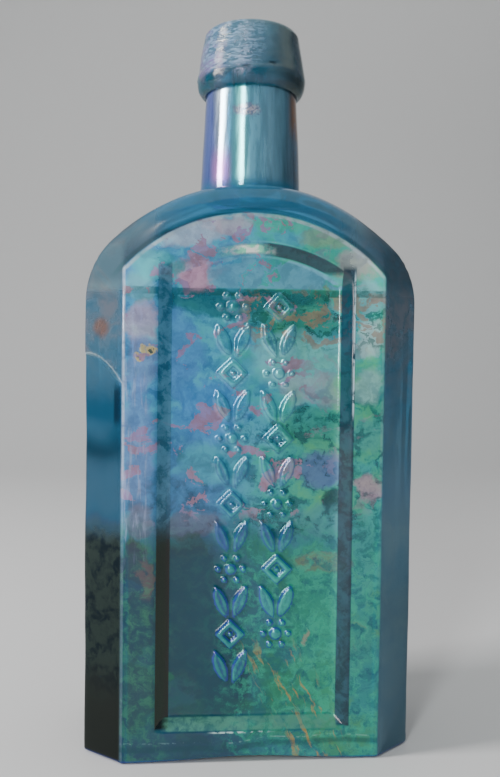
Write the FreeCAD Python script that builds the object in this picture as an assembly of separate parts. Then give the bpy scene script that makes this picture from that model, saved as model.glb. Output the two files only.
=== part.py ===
"""A mould-blown medicine bottle with an applied lip, in millimetres, one STEP file per piece of glass.

The origin is the middle of the base, on the plane the bottle stands on. +Z is up and the ornamented
front panel faces -Y. The flask, shoulder and neck are one blown piece. The lip is a second gather of
glass, laid hot round the end of the neck.
"""
import FreeCAD, Part
import math
import os
from FreeCAD import Vector

# The flask
WIDTH = 101.6  # from one narrow side to the other
DEPTH = 56.0  # from front to back
STRAIGHT_HEIGHT = 137.6  # from the standing plane to where the sides start to lean in
SHOULDER_RISE = 35.4  # from there to the top of the shoulder's arch
HAUNCH_RADIUS = 25.0  # arch from each side into the crown
SHOULDER_ROUND = 7.6  # roll-over from the arch into the front and back faces
BEVEL_WIDTH = 11.5  # bevelled corner, along the front
BEVEL_DEPTH = 9.3  # bevelled corner, along the side
BEVEL_ROUND = 1.5  # softening of the bevel's own edges
HEEL_ROUND = 1.5  # edge between the sides and the base
WALL = 4.2  # glass behind the sides, the panel's floor and the shoulder
BASE_THICKNESS = 8.0
PUSH_UP_DEPTH = 1.6  # shallow hollow under the base
PUSH_UP_RIM = 10.0  # flat rim left round that hollow
PUSH_UP_SLOPE = 3.0

# The arched panels sunk into the front and the back
PANEL_WIDTH = 58.2
PANEL_FOOT = 9.4  # lower edge, above the standing plane
PANEL_SPRING_RISE = 7.0  # its upper corners, above the straight part of the sides
PANEL_RISE = 10.4  # arch above those corners
PANEL_DEPTH = 2.6
PANEL_SLOPE = 3.8  # width of the sloping border

# The raised ornament on the front panel: two columns of leaves, lozenges and rosettes
ORNAMENT_COLUMNS = (-6.3, 7.5)  # middle of each column, across the panel
ORNAMENT_SHORTER = (0, 1)  # how many motifs each column leaves out at its foot
ORNAMENT_PITCH = 9.8
ORNAMENT_MARGIN = 3.9  # clear floor above the first motif and below the last, at least
ORNAMENT_HALF = 4.7  # half the room one motif takes, across the panel
ORNAMENT_STROKE = 1.7
ORNAMENT_HEIGHT = 0.9
ORNAMENT_ROOT = 0.4  # how far each motif is sunk into the panel's floor

# The neck and the mouth
NECK_LENGTH = 31.4  # from the top of the shoulder to the lip's lower edge
NECK_ROOT_RADIUS = 16.5
NECK_TOP_RADIUS = 14.6  # at the lip's lower edge
NECK_INTO_LIP = 5.2  # how far the broken-off end stands inside the lip
NECK_WALL = 5.6  # at the shoulder
NECK_COVE = 3.5  # hollow fillet between neck and shoulder
BORE_RADIUS = 9.0

# The applied lip
LIP_HEIGHT = 20.6
LIP_RADIUS = 17.8
LIP_WIDEST = 5.5  # height of the widest line above the lip's lower edge
LIP_TOP_RADIUS = 15.5
LIP_TOP_ROUND = 2.4
LIP_FOOT_STEP = 0.5  # how far the lip's lower edge stands out from the neck
MOUTH_ROUND = 1.2

# What follows from those sizes
SHOULDER_TOP = STRAIGHT_HEIGHT + SHOULDER_RISE
LIP_FOOT = SHOULDER_TOP + NECK_LENGTH
NECK_TOP = LIP_FOOT + NECK_INTO_LIP
TOTAL_HEIGHT = LIP_FOOT + LIP_HEIGHT
HAUNCH_OFFSET = WIDTH / 2 - HAUNCH_RADIUS
CROWN_RADIUS = (HAUNCH_OFFSET**2 + SHOULDER_RISE**2 - HAUNCH_RADIUS**2) / (
    2 * (SHOULDER_RISE - HAUNCH_RADIUS)
)
CROWN_CENTRE = SHOULDER_TOP - CROWN_RADIUS
PANEL_SPRING = STRAIGHT_HEIGHT + PANEL_SPRING_RISE
PANEL_FLOOR = DEPTH / 2 - PANEL_DEPTH
ORNAMENT_TOP = PANEL_SPRING - ORNAMENT_MARGIN - ORNAMENT_HALF
ORNAMENT_LOWEST = PANEL_FOOT + PANEL_SLOPE + ORNAMENT_MARGIN + ORNAMENT_HALF
ORNAMENT_ROWS = 1 + math.floor((ORNAMENT_TOP - ORNAMENT_LOWEST) / ORNAMENT_PITCH)
CLEAR = 5.0  # how far a cutting tool runs past what it cuts


def arch_face(inset, foot):
    """The bottle's front outline without its neck, moved in by inset, as a face on the XZ plane."""
    half = WIDTH / 2 - inset
    haunch = HAUNCH_RADIUS - inset
    crown = CROWN_RADIUS - inset
    lean = math.atan2(STRAIGHT_HEIGHT - CROWN_CENTRE, HAUNCH_OFFSET)

    def on_haunch(side, angle):
        x = HAUNCH_OFFSET + haunch * math.cos(angle)
        return Vector(side * x, 0, STRAIGHT_HEIGHT + haunch * math.sin(angle))

    def haunch_arc(side):
        return Part.Arc(on_haunch(side, 0), on_haunch(side, lean / 2), on_haunch(side, lean)).toShape()

    def side_line(side):
        return Part.makeLine(Vector(side * half, 0, foot), on_haunch(side, 0))

    crown_top = Vector(0, 0, CROWN_CENTRE + crown)
    edges = [
        Part.makeLine(Vector(-half, 0, foot), Vector(half, 0, foot)),
        side_line(1),
        haunch_arc(1),
        Part.Arc(on_haunch(1, lean), crown_top, on_haunch(-1, lean)).toShape(),
        haunch_arc(-1),
        side_line(-1),
    ]
    return Part.Face(Part.Wire(Part.__sortEdges__(edges)))


def arch_plate(inset, half_depth, foot, roll):
    """That outline given a thickness, with its front and back edges rolled over."""
    face = arch_face(inset, foot)
    face.translate(Vector(0, -half_depth, 0))
    plate = face.extrude(Vector(0, 2 * half_depth, 0))
    rims = [e for e in plate.Edges if abs(abs(e.CenterOfMass.y) - half_depth) < 1e-6]
    return plate.makeFillet(roll, rims)


def plan_outline(side_inset, face_inset):
    """The eight corners of the bevelled plan, seen from above, with each side moved in."""
    half = WIDTH / 2 - side_inset
    half_depth = DEPTH / 2 - face_inset
    slant = math.hypot(BEVEL_WIDTH, BEVEL_DEPTH)
    reach = BEVEL_DEPTH * WIDTH / 2 + BEVEL_WIDTH * (DEPTH / 2 - BEVEL_DEPTH) - side_inset * slant
    front_corner = (reach - BEVEL_WIDTH * half_depth) / BEVEL_DEPTH
    side_corner = (reach - BEVEL_DEPTH * half) / BEVEL_WIDTH
    quarter = [(half, side_corner), (front_corner, half_depth)]
    mirrored = [(-x, y) for x, y in reversed(quarter)]
    upper = quarter + mirrored
    return upper + [(-x, -y) for x, y in upper]


def plan_prism(side_inset, face_inset, foot, edge_round, foot_round):
    """The bevelled plan as an upright prism from foot to above the shoulder, its edges rounded."""
    corners = [Vector(x, y, foot) for x, y in plan_outline(side_inset, face_inset)]
    prism = Part.Face(Part.makePolygon(corners + corners[:1])).extrude(Vector(0, 0, TOTAL_HEIGHT))
    uprights = [e for e in prism.Edges if abs(e.BoundBox.ZLength - TOTAL_HEIGHT) < 1e-6]
    prism = prism.makeFillet(edge_round, uprights)
    foot_edges = [e for e in prism.Edges if abs(e.BoundBox.ZMax - foot) < 1e-6]
    return prism.makeFillet(foot_round, foot_edges)


def flask_outside():
    plate = arch_plate(0, DEPTH / 2, -CLEAR - SHOULDER_ROUND, SHOULDER_ROUND)
    return plate.common(plan_prism(0, 0, 0, BEVEL_ROUND, HEEL_ROUND))


def flask_inside():
    """The space for the liquid: the outside moved in by the wall, and flat behind both panels."""
    face_inset = PANEL_DEPTH + WALL
    roll = SHOULDER_ROUND - WALL + PANEL_DEPTH
    plate = arch_plate(WALL, DEPTH / 2 - face_inset, BASE_THICKNESS - CLEAR - roll, roll)
    return plate.common(plan_prism(WALL, face_inset, BASE_THICKNESS, roll / 2, roll / 2))


def panel_wire(inset, y):
    half = PANEL_WIDTH / 2 - inset
    arch_radius = ((PANEL_WIDTH / 2) ** 2 + PANEL_RISE**2) / (2 * PANEL_RISE)
    centre = PANEL_SPRING + PANEL_RISE - arch_radius
    spring = centre + math.sqrt((arch_radius - inset) ** 2 - half**2)
    foot = PANEL_FOOT + inset
    low_left, low_right = Vector(-half, y, foot), Vector(half, y, foot)
    high_left, high_right = Vector(-half, y, spring), Vector(half, y, spring)
    peak = Vector(0, y, centre + arch_radius - inset)
    return Part.Wire(
        [
            Part.makeLine(low_left, low_right),
            Part.makeLine(low_right, high_right),
            Part.Arc(high_right, peak, high_left).toShape(),
            Part.makeLine(high_left, low_left),
        ]
    )


def panel_sinking(side):
    """The cutter for one arched panel. side is -1 for the front and 1 for the back."""
    floor = Part.makeLoft([panel_wire(0, side * DEPTH / 2), panel_wire(PANEL_SLOPE, side * PANEL_FLOOR)], True, True)
    return floor.fuse(Part.Face(panel_wire(0, side * DEPTH / 2)).extrude(Vector(0, side * CLEAR, 0)))


def raised(wire_points):
    """A straight-sided motif from its outline, given as (across, up) points about the origin."""
    corners = [Vector(x, ORNAMENT_ROOT, z) for x, z in wire_points]
    face = Part.Face(Part.makePolygon(corners + corners[:1]))
    return face.extrude(Vector(0, -ORNAMENT_ROOT - ORNAMENT_HEIGHT, 0))


def stud(radius, x=0.0, z=0.0):
    return Part.makeCylinder(
        radius, ORNAMENT_ROOT + ORNAMENT_HEIGHT, Vector(x, ORNAMENT_ROOT, z), Vector(0, -1, 0)
    )


def lozenge():
    """A diamond frame round a stud."""

    def diamond(half):
        return raised([(half, 0), (0, half), (-half, 0), (0, -half)])

    inner = ORNAMENT_HALF - ORNAMENT_STROKE * math.sqrt(2)
    return [diamond(ORNAMENT_HALF).cut(diamond(inner)), stud(ORNAMENT_STROKE / 3)]


def rosette():
    """Six studs in a ring round a larger one."""
    petal = ORNAMENT_STROKE / 2
    ring = ORNAMENT_HALF - petal
    petals = [
        stud(petal, ring * math.cos(k * math.pi / 3), ring * math.sin(k * math.pi / 3)) for k in range(6)
    ]
    return [stud(ORNAMENT_STROKE)] + petals


def leaf_pair():
    """Two pointed leaves that open upwards from a common foot."""
    leaves = []
    for side in (-1, 1):
        foot = Vector(side * ORNAMENT_STROKE / 2, ORNAMENT_ROOT, -ORNAMENT_HALF)
        tip = Vector(side * ORNAMENT_HALF, ORNAMENT_ROOT, ORNAMENT_HALF)
        along = tip.sub(foot)
        across = Vector(along.z, 0, -along.x).normalize().multiply(ORNAMENT_STROKE)
        middle = foot.add(tip).multiply(0.5)
        edges = [
            Part.Arc(foot, middle.add(across), tip).toShape(),
            Part.Arc(tip, middle.sub(across), foot).toShape(),
        ]
        leaf = Part.Face(Part.Wire(edges)).extrude(Vector(0, -ORNAMENT_ROOT - ORNAMENT_HEIGHT, 0))
        leaves.append(leaf)
    return leaves


def ornament():
    motifs = (rosette(), leaf_pair(), lozenge(), leaf_pair())
    placed = []
    for column, (x, shorter) in enumerate(zip(ORNAMENT_COLUMNS, ORNAMENT_SHORTER)):
        for row in range(ORNAMENT_ROWS - shorter):
            z = ORNAMENT_TOP - row * ORNAMENT_PITCH
            for solid in motifs[(row + 2 * column) % len(motifs)]:
                copy = solid.copy()
                copy.translate(Vector(x, -PANEL_FLOOR, z))
                placed.append(copy)
    return placed


def neck_radius(z):
    slope = (NECK_TOP_RADIUS - NECK_ROOT_RADIUS) / NECK_LENGTH
    return NECK_ROOT_RADIUS + (z - SHOULDER_TOP) * slope


def neck_cone(foot):
    return Part.makeCone(neck_radius(foot), neck_radius(NECK_TOP), NECK_TOP - foot, Vector(0, 0, foot))


def throat():
    """The neck's own bore, from inside the flask up to the lip."""
    foot = SHOULDER_TOP - WALL - CLEAR - NECK_COVE
    return Part.makeCone(NECK_ROOT_RADIUS - NECK_WALL, BORE_RADIUS, NECK_TOP - foot, Vector(0, 0, foot))


def cove_edges(shape):
    """The line where the neck meets the shoulder."""
    found = []
    for edge in shape.Edges:
        if edge.Degenerated:
            continue
        points = edge.discretize(7)
        on_neck = all(abs(math.hypot(p.x, p.y) - neck_radius(p.z)) < 1e-3 for p in points)
        if on_neck and edge.BoundBox.ZMax < SHOULDER_TOP + NECK_COVE:
            found.append(edge)
    return found


def push_up():
    """The cutter for the shallow hollow under the base."""
    wires = []
    for inset, z in ((PUSH_UP_RIM, 0), (PUSH_UP_RIM + PUSH_UP_SLOPE, PUSH_UP_DEPTH)):
        corners = [Vector(x, y, z) for x, y in plan_outline(inset, inset)]
        wires.append(Part.makePolygon(corners + corners[:1]))
    return Part.makeLoft(wires, True, True)


def bottle_body():
    outside = flask_outside().fuse(neck_cone(SHOULDER_TOP - WALL - CLEAR))
    outside = outside.makeFillet(NECK_COVE, cove_edges(outside))
    sunk = outside.cut([panel_sinking(-1), panel_sinking(1)])
    hollow = sunk.cut([flask_inside().fuse(throat()), push_up()])
    return hollow.fuse(ornament()).removeSplitter()


def applied_lip():
    """The collar, turned about the bottle's axis and bedded on the neck's end."""
    foot_radius = neck_radius(LIP_FOOT) + LIP_FOOT_STEP
    widest = Vector(LIP_RADIUS, 0, LIP_FOOT + LIP_WIDEST)
    foot = Vector(foot_radius, 0, LIP_FOOT)
    bulge = Vector(
        foot_radius + (LIP_RADIUS - foot_radius) * math.sin(math.pi / 3),
        0,
        LIP_FOOT + LIP_WIDEST * (1 - math.cos(math.pi / 3)),
    )
    top_edge = Vector(LIP_TOP_RADIUS, 0, TOTAL_HEIGHT)
    inner_foot = Vector(BORE_RADIUS, 0, LIP_FOOT)
    inner_top = Vector(BORE_RADIUS, 0, TOTAL_HEIGHT)
    edges = [
        Part.Arc(foot, bulge, widest).toShape(),
        Part.makeLine(widest, top_edge),
        Part.makeLine(top_edge, inner_top),
        Part.makeLine(inner_top, inner_foot),
        Part.makeLine(inner_foot, foot),
    ]
    profile = Part.Face(Part.Wire(edges))
    collar = profile.revolve(Vector(0, 0, 0), Vector(0, 0, 1), 360)
    rims = [e for e in collar.Edges if abs(e.BoundBox.ZMin - TOTAL_HEIGHT) < 1e-6]
    outer = [e for e in rims if e.BoundBox.XMax > LIP_TOP_RADIUS - 0.1]
    collar = collar.makeFillet(LIP_TOP_ROUND, outer)
    inner = [
        e
        for e in collar.Edges
        if abs(e.BoundBox.ZMin - TOTAL_HEIGHT) < 1e-6 and e.BoundBox.XMax < BORE_RADIUS + 0.1
    ]
    collar = collar.makeFillet(MOUTH_ROUND, inner)
    return collar.cut(neck_cone(LIP_FOOT - CLEAR))


def main():
    os.makedirs("parts", exist_ok=True)
    for name, shape in (("bottle_body", bottle_body()), ("applied_lip", applied_lip())):
        solid = shape.Solids[0] if len(shape.Solids) == 1 else shape
        solid.exportStep(os.path.join("parts", name + ".step"))
        print(name, "solids", len(shape.Solids), "valid", shape.isValid(), "volume", round(shape.Volume))


main()
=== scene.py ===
"""An antique medicine bottle of thick blue-green glass, standing on a pale floor.

The flask, shoulder and neck are one blown piece, and the collar lip is a second one laid round the neck's
end. Both are drawn here as closed walls of glass, from the same drawing sizes as the solid model.
"""

import math

import bmesh
import bpy
import numpy as np
from mathutils import Matrix, Vector, noise


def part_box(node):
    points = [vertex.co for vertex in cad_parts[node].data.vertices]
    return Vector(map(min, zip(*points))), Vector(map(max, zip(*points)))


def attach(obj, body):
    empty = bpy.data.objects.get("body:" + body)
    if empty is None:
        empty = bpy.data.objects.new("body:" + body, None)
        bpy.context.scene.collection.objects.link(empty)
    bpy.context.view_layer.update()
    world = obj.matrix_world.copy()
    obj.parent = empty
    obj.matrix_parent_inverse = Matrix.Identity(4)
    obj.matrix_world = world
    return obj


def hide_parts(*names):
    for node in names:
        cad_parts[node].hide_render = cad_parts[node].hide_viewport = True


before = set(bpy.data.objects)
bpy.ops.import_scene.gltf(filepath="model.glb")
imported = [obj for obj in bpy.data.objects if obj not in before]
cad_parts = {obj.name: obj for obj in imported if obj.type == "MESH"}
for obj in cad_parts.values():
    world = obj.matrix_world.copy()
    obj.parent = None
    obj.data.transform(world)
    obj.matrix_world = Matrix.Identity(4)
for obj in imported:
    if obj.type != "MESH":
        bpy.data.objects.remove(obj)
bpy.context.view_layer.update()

MM = 0.001
BODY_BOX = [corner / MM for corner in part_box("bottle_body")]
LIP_BOX = [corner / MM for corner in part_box("applied_lip")]

# The drawing, in millimetres
SKIN = 0.4  # the wavy glass stays this far inside the drawing's outline
HALF_WIDTH = BODY_BOX[1].x - SKIN
HALF_DEPTH = BODY_BOX[1].y - SKIN
STRAIGHT_HEIGHT = 137.6
SHOULDER_RISE = 35.4
SHOULDER_TOP = STRAIGHT_HEIGHT + SHOULDER_RISE
HAUNCH_RADIUS = 25.0
SHOULDER_ROUND = 7.6
BEVEL_WIDTH = 11.5
BEVEL_DEPTH = 9.3
EDGE_SOFTNESS = 0.22  # how gently the bevel's edges roll over
HEEL_ROUND = 1.3
WALL = 4.2
BASE_THICKNESS = 8.0
PUSH_UP = 1.6
PANEL_HALF = 29.1
PANEL_FOOT = 9.4
PANEL_SPRING = 144.6
PANEL_RISE = 10.4
PANEL_DEPTH = 2.6
PANEL_SLOPE = 3.8
NECK_ROOT_RADIUS = 16.3
NECK_TOP_RADIUS = 14.4
NECK_BORE_ROOT = 10.9
BORE_RADIUS = 9.05
NECK_TOP = BODY_BOX[1].z
LIP_FOOT = NECK_TOP - 5.2
LIP_TOP = LIP_BOX[1].z
LIP_RADIUS = 17.4
LIP_TOP_RADIUS = 15.2

ORNAMENT_COLUMNS = (-6.3, 7.5)
ORNAMENT_COUNTS = (12, 11)
ORNAMENT_TOP = 136.0
ORNAMENT_PITCH = 9.8
ORNAMENT_HALF = 4.7
ORNAMENT_STROKE = 1.9
ORNAMENT_HEIGHT = 1.0
ORNAMENT_STRIP = 13.2  # half the width of the ornamented strip, with a little room

INNER_ROUND = 8.0  # the inside of the flask is rounder than its skin
INNER_SOFTNESS = 2.2
INNER_FACE = 0.6 * PANEL_DEPTH  # the inside faces lie this much deeper, to clear the panels
FULL_PLAN = 60.0  # a height at which the flask has its full plan
EASY_GAP = 0.05  # between the neck and the collar laid round it

# The broken shell's edge is an arc on the left bevel: its top, and how it falls away to the right
SHELL_TOP = 121.7
SHELL_LEFT = 49.5
SHELL_FALL = 0.0752
FACE_ARCH = (-0.5, 111.6)  # the centres, across and up, of the arcs that bound the face and the panel
PANEL_ARCH = (0.6, 109.1)
TIDE_TOP = 141.3  # where liquid once stood
TIDE_FOOT = 139.2
COLLAR_DENTS = ((-3.0, 209.6), (5.0, 210.9))  # across and up

HAUNCH_OFFSET = HALF_WIDTH - HAUNCH_RADIUS
CROWN_RADIUS = (HAUNCH_OFFSET**2 + SHOULDER_RISE**2 - HAUNCH_RADIUS**2) / (
    2 * (SHOULDER_RISE - HAUNCH_RADIUS)
)
CROWN_CENTRE = SHOULDER_TOP - CROWN_RADIUS


# ---------------------------------------------------------------- camera, light and floor


def place_camera():
    """Stands close in front and a little to the bottle's left, looking slightly down."""
    camera = bpy.data.objects.new("camera", bpy.data.cameras.new("camera"))
    camera.data.lens = 38.53
    camera.data.sensor_width = 36.0
    camera.data.clip_start = 0.01
    turn, tilt, roll = math.radians(4.80), math.radians(-2.14), math.radians(-0.762)
    place = Vector((-0.02188, -0.2715, 0.12108))
    facing = Matrix.Rotation(-turn, 3, "Z") @ Matrix.Rotation(math.pi / 2 + tilt, 3, "X")
    camera.matrix_world = Matrix.Translation(place) @ (facing @ Matrix.Rotation(-roll, 3, "Z")).to_4x4()
    bpy.context.scene.collection.objects.link(camera)
    bpy.context.scene.camera = camera


def place_lamp(name, place, size, watts, colour):
    """A soft rectangular lamp aimed at the middle of the bottle."""
    lamp = bpy.data.lights.new(name, "AREA")
    lamp.shape = "RECTANGLE"
    lamp.size, lamp.size_y = size
    lamp.energy = watts
    lamp.color = colour
    thing = bpy.data.objects.new(name, lamp)
    thing.location = place
    aim = Vector((0, 0, 0.13)) - Vector(place)
    thing.rotation_euler = aim.to_track_quat("-Z", "Y").to_euler()
    bpy.context.scene.collection.objects.link(thing)


def light_studio():
    world = bpy.data.worlds.new("studio")
    world.use_nodes = True
    sky = world.node_tree.nodes["Background"]
    sky.inputs["Color"].default_value = (0.55, 0.6, 0.65, 1)
    sky.inputs["Strength"].default_value = 0.28
    bpy.context.scene.world = world
    place_lamp("left_window", (-0.78, -0.14, 0.55), (0.20, 0.46), 10, (1.0, 0.97, 0.98))
    place_lamp("front_window", (-0.40, -0.85, 0.42), (0.14, 0.6), 6, (0.93, 0.98, 1.0))
    place_lamp("overhead", (0.2, 0.1, 1.1), (1.8, 1.8), 7.5, (1.0, 1.0, 1.0))


def lay_floor():
    """A pale sheet that runs back from under the bottle and curves up behind it."""
    bend, back, half = 0.5, 0.6, 1.8
    line = [(-1.6, 0.0), (-0.6, 0.0), (back, 0.0)]
    turns = np.linspace(0, math.pi / 2, 13)[1:]
    line += [(back + bend * math.sin(a), bend * (1 - math.cos(a))) for a in turns]
    line.append((back + bend, 2.2))
    bm = bmesh.new()
    verts = [bm.verts.new((-half, y, z)) for y, z in line]
    edges = [bm.edges.new(pair) for pair in zip(verts, verts[1:])]
    drawn = bmesh.ops.extrude_edge_only(bm, edges=edges)["geom"]
    fresh = [g for g in drawn if isinstance(g, bmesh.types.BMVert)]
    bmesh.ops.translate(bm, verts=fresh, vec=(2 * half, 0, 0))
    bm.normal_update()
    if sum(face.normal.z for face in bm.faces) < 0:
        bmesh.ops.reverse_faces(bm, faces=bm.faces[:])
    for face in bm.faces:
        face.smooth = True
    floor = make_piece("floor", bm)
    material = bpy.data.materials.new("pale_floor")
    material.use_nodes = True
    shader = material.node_tree.nodes["Principled BSDF"]
    shader.inputs["Base Color"].default_value = (0.62, 0.62, 0.61, 1)
    shader.inputs["Roughness"].default_value = 0.8
    floor.data.materials.append(material)


def make_piece(name, bm):
    mesh = bpy.data.meshes.new(name)
    bm.to_mesh(mesh)
    bm.free()
    piece = bpy.data.objects.new(name, mesh)
    bpy.context.scene.collection.objects.link(piece)
    return piece


# ---------------------------------------------------------------- the form of the glass


def soft_max(a, b, reach):
    """The larger of two, rolled over smoothly where they come within reach of each other."""
    return np.logaddexp(a / reach, b / reach) * reach


def soft_step(t, softness):
    """Climbs from 0 to 1 in a straight line as t does, with its two corners eased."""
    low = np.logaddexp(0, t / softness)
    high = np.logaddexp(0, (t - 1) / softness)
    return (low - high) * softness


def arch_depth(x, z):
    """How far a point lies inside the bottle's front outline, neck left out."""
    x = np.abs(x)
    lean = math.atan2(STRAIGHT_HEIGHT - CROWN_CENTRE, HAUNCH_OFFSET)
    rise = np.maximum(z - STRAIGHT_HEIGHT, 0)
    beyond = np.maximum(x - HAUNCH_OFFSET, 1e-6)
    haunch = HAUNCH_RADIUS - np.hypot(x - HAUNCH_OFFSET, rise)
    crown = CROWN_RADIUS - np.hypot(x, z - CROWN_CENTRE)
    on_side = z <= STRAIGHT_HEIGHT
    on_haunch = (np.arctan2(rise, beyond) < lean) & (x > HAUNCH_OFFSET)
    return np.where(on_side, HALF_WIDTH - x, np.where(on_haunch, haunch, crown))


def bevel_depth(x, y):
    """How far a point lies inside the nearest bevelled corner."""
    slant = math.hypot(BEVEL_WIDTH, BEVEL_DEPTH)
    reach = BEVEL_DEPTH * HALF_WIDTH + BEVEL_WIDTH * (HALF_DEPTH - BEVEL_DEPTH)
    return (reach - BEVEL_DEPTH * np.abs(x) - BEVEL_WIDTH * np.abs(y)) / slant


def flask_radius(theta, z, inset, face_inset, roll, softness):
    """Distance from the axis to the flask's skin, along level rays, found by halving."""
    c, s = np.cos(theta), np.sin(theta)
    near = np.zeros(np.broadcast(theta, z).shape)
    far = near + HALF_WIDTH + HALF_DEPTH
    for _ in range(30):
        middle = (near + far) / 2
        x, y = middle * c, middle * s
        deep = arch_depth(x, z) - inset
        sunk = np.clip(roll - deep, 0, roll)
        face = HALF_DEPTH - face_inset - roll + np.sqrt(roll**2 - sunk**2)
        past = soft_max(np.abs(y) - face, inset - bevel_depth(x, y), softness)
        past = soft_max(past, -deep, softness)
        near = np.where(past < 0, middle, near)
        far = np.where(past < 0, far, middle)
    return near


def panel_sinking(x, z, slope, softness):
    """How far the arched panel's surface lies below the frame around it."""
    arch_radius = (PANEL_HALF**2 + PANEL_RISE**2) / (2 * PANEL_RISE)
    centre = PANEL_SPRING + PANEL_RISE - arch_radius
    side = PANEL_HALF - np.abs(x)
    foot = z - PANEL_FOOT
    arch = arch_radius - np.hypot(x, np.maximum(z - centre, 0))
    inside = -soft_max(soft_max(-side, -foot, 0.4), -arch, 0.4)
    return PANEL_DEPTH * soft_step(inside / slope, softness)


def bead(distance, half_width):
    """The height of a rounded ridge at a distance from its middle line."""
    return np.sqrt(np.clip(1 - (distance / half_width) ** 2, 0, 1))


def lozenge(u, v):
    half = ORNAMENT_STROKE / 2
    frame_line = np.abs((np.abs(u) + np.abs(v) - ORNAMENT_HALF + half * math.sqrt(2)) / math.sqrt(2))
    return np.maximum(bead(frame_line, half), bead(np.hypot(u, v), half * 0.8))


def rosette(u, v):
    petal = ORNAMENT_STROKE / 2
    ring = ORNAMENT_HALF - petal
    high = bead(np.hypot(u, v), ORNAMENT_STROKE)
    for k in range(6):
        angle = k * math.pi / 3
        away = np.hypot(u - ring * math.cos(angle), v - ring * math.sin(angle))
        high = np.maximum(high, bead(away, petal))
    return high


def leaf_pair(u, v):
    high = np.zeros_like(u)
    for side in (-1, 1):
        foot = np.array([side * ORNAMENT_STROKE / 2, -ORNAMENT_HALF])
        tip = np.array([side * ORNAMENT_HALF, ORNAMENT_HALF])
        length = np.hypot(*(tip - foot))
        along = (tip - foot) / length
        t = ((u - foot[0]) * along[0] + (v - foot[1]) * along[1]) / length
        away = np.abs((u - foot[0]) * along[1] - (v - foot[1]) * along[0])
        width = 1.05 * ORNAMENT_STROKE * np.sin(math.pi * np.clip(t, 0.02, 0.98)) ** 0.8
        leaf = bead(away, width)
        vein = 0.35 * bead(away, 0.35 * width)
        high = np.maximum(high, np.where((t > 0) & (t < 1), leaf - vein, 0))
    return high


def ornament(x, z):
    """Two columns of raised motifs on the front panel's floor."""
    motifs = (rosette, leaf_pair, lozenge, leaf_pair)
    high = np.zeros_like(x)
    for column, (middle, count) in enumerate(zip(ORNAMENT_COLUMNS, ORNAMENT_COUNTS)):
        for row in range(count):
            u, v = x - middle, z - (ORNAMENT_TOP - row * ORNAMENT_PITCH)
            near = (np.abs(u) < ORNAMENT_HALF + 1) & (np.abs(v) < ORNAMENT_HALF + 1)
            if near.any():
                high[near] = np.maximum(high[near], motifs[(row + 2 * column) % 4](u[near], v[near]))
    return ORNAMENT_HEIGHT * high


# ---------------------------------------------------------------- where the mesh's lines run


def spaced(start, end, step, eased=False):
    """Places from start up to but not including end. Eased ones crowd towards both ends."""
    count = max(1, round(abs(end - start) / step))
    t = np.arange(count) / count
    if eased:
        t = (1 - np.cos(math.pi * t)) / 2
    return start + (end - start) * t


def plan_columns():
    """The bearings of the mesh's upright lines: close together where the glass has detail."""
    flat = HALF_WIDTH - BEVEL_WIDTH
    shallow = PANEL_HALF - PANEL_SLOPE
    worked = ORNAMENT_STRIP
    front = [
        spaced(-flat, -PANEL_HALF, 1.1, True),
        spaced(-PANEL_HALF, -shallow, 0.7, True),
        spaced(-shallow, -worked, 1.6),
        spaced(-worked, worked, 0.62),
        spaced(worked, shallow, 1.6),
        spaced(shallow, PANEL_HALF, 0.7, True),
        spaced(PANEL_HALF, flat, 1.1, True),
    ]
    back = [
        spaced(flat, PANEL_HALF, 1.3, True),
        spaced(PANEL_HALF, shallow, 0.9, True),
        spaced(shallow, -shallow, 2.6),
        spaced(-shallow, -PANEL_HALF, 0.9, True),
        spaced(-PANEL_HALF, -flat, 1.3, True),
    ]
    side = spaced(-HALF_DEPTH + BEVEL_DEPTH, HALF_DEPTH - BEVEL_DEPTH, 2.4, True)
    share = spaced(0, 1, 1 / 11, True)

    def bevel(x0, y0, x1, y1):
        return [(x0 + (x1 - x0) * t, y0 + (y1 - y0) * t) for t in share]

    corner = HALF_DEPTH - BEVEL_DEPTH
    points = [(x, -HALF_DEPTH) for x in np.concatenate(front)]
    points += bevel(flat, -HALF_DEPTH, HALF_WIDTH, -corner)
    points += [(HALF_WIDTH, y) for y in side]
    points += bevel(HALF_WIDTH, corner, flat, HALF_DEPTH)
    points += [(x, HALF_DEPTH) for x in np.concatenate(back)]
    points += bevel(-flat, HALF_DEPTH, -HALF_WIDTH, corner)
    points += [(-HALF_WIDTH, -y) for y in side]
    points += bevel(-HALF_WIDTH, -corner, -flat, -HALF_DEPTH)
    return np.array([math.atan2(y, x) for x, y in points])


def neck_radius(z):
    slope = (NECK_TOP_RADIUS - NECK_ROOT_RADIUS) / (LIP_FOOT - SHOULDER_TOP)
    return NECK_ROOT_RADIUS + (z - SHOULDER_TOP) * slope


def level(theta, radius, z):
    shape = np.broadcast(theta, radius, z).shape
    return np.stack(
        [
            np.broadcast_to(radius * np.cos(theta), shape),
            np.broadcast_to(radius * np.sin(theta), shape),
            np.broadcast_to(z, shape),
        ],
        axis=-1,
    ).copy()


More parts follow.
